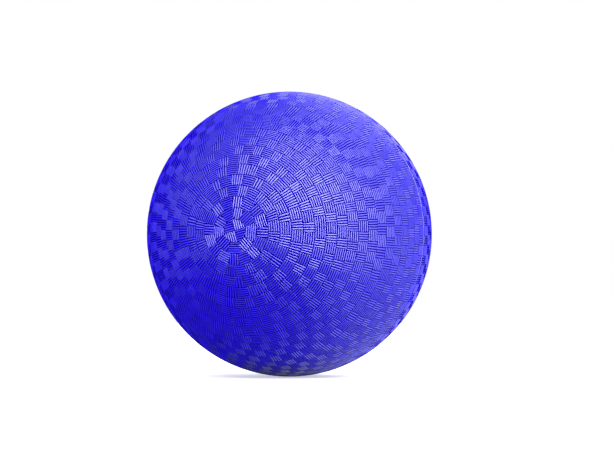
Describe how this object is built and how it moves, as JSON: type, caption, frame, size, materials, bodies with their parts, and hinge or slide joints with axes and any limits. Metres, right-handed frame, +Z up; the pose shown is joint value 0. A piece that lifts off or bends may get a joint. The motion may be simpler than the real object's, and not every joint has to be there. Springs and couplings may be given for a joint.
{
  "type": "dodgeball",
  "caption": "Inflatable rubber dodgeball with a moulded basket-weave cover, an airtight bladder and a self-sealing needle valve.",
  "frame": {"origin": "centre of the ball", "axes": "+Z up, away from the point it rests on; +Y along the mould axis and out through the valve; the mould's parting line lies in the plane Y = 0"},
  "size_m": [0.216, 0.2159, 0.216],
  "materials": {
    "cover_rubber": "satin moulded rubber, blue-violet",
    "bladder_rubber": "matt black butyl rubber",
    "valve_rubber": "satin black moulded rubber",
    "core_rubber": "soft dark grey rubber, slightly oily"
  },
  "bodies": {
    "root": {"cover": "cover_rubber", "bladder": "bladder_rubber", "valve_patch": "bladder_rubber", "valve_housing": "valve_rubber", "valve_core": "core_rubber"}
  },
  "joints": []
}
